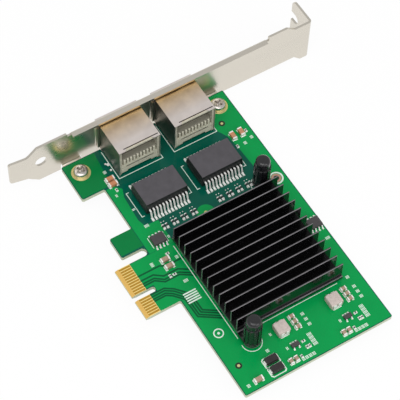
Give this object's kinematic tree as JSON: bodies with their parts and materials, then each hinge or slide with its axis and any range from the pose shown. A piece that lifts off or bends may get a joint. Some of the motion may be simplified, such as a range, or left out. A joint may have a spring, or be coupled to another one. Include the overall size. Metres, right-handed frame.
{
  "type": "network interface card",
  "caption": "Low-profile network interface card with a full-height folded bracket, shielded jacks side by side, transformers and a finned black heatsink.",
  "frame": {"origin": "on the component side of the board, at the insertion edge, in the middle of the key notch of the edge connector", "axes": "+X runs along the card away from the bracket, +Y from the edge connector to the opposite edge, +Z out of the component side"},
  "size_m": [0.1175, 0.12, 0.0217],
  "materials": {
    "board_laminate": "gloss green solder mask over glass-fibre laminate",
    "gold_plate": "gold plating",
    "bracket_steel": "satin nickel-plated steel",
    "screw_steel": "bright plated steel",
    "shield_metal": "tinned shield sheet",
    "housing_plastic": "black moulded plastic",
    "carrier_plastic": "warm grey moulded plastic",
    "light_lens": "translucent lens",
    "black_anodised": "black anodised aluminium with bare fin tips",
    "pin_plastic": "glossy black plastic",
    "thermal_pad": "soft grey pad",
    "tinned_metal": "tinned metal",
    "transformer_resin": "dark grey moulded resin",
    "inductor_resin": "warm grey moulded resin",
    "capacitor_ceramic": "brown ceramic",
    "small_ceramic": "dark ceramic",
    "chip_resin": "black moulded resin"
  },
  "bodies": {
    "root": {"bracket": "bracket_steel", "bracket_screws": "screw_steel", "circuit_board": "board_laminate", "controller_chip": "chip_resin", "diode_body_1": "chip_resin", "diode_body_2": "chip_resin", "diode_terminals_1": "tinned_metal", "diode_terminals_2": "tinned_metal", "edge_chip_body": "chip_resin", "edge_chip_leads": "tinned_metal", "edge_contacts": "gold_plate", "heatsink": "black_anodised", "inductor_body_1": "inductor_resin", "inductor_body_2": "inductor_resin", "inductor_terminals_1": "tinned_metal", "inductor_terminals_2": "tinned_metal", "jack_carrier_1": "carrier_plastic", "jack_carrier_2": "carrier_plastic", "jack_housing_1": "housing_plastic", "jack_housing_2": "housing_plastic", "jack_lights_1": "light_lens", "jack_lights_2": "light_lens", "jack_shield_1": "shield_metal", "jack_shield_2": "shield_metal", "jack_springs_1": "gold_plate", "jack_springs_2": "gold_plate", "large_capacitor_bodies": "capacitor_ceramic", "large_capacitor_ends": "tinned_metal", "medium_capacitor_bodies": "capacitor_ceramic", "medium_capacitor_ends": "tinned_metal", "memory_chip_body": "chip_resin", "memory_chip_leads": "tinned_metal", "push_pins": "pin_plastic", "regulator_body_1": "chip_resin", "regulator_body_2": "chip_resin", "regulator_leads_1": "tinned_metal", "regulator_leads_2": "tinned_metal", "resistor_bodies": "small_ceramic", "resistor_ends": "tinned_metal", "ring_pads": "gold_plate", "small_part_bodies": "small_ceramic", "small_part_ends": "tinned_metal", "thermal_pad": "thermal_pad", "transformer_body_1": "transformer_resin", "transformer_body_2": "transformer_resin", "transformer_leads_1": "tinned_metal", "transformer_leads_2": "tinned_metal"}
  },
  "joints": []
}
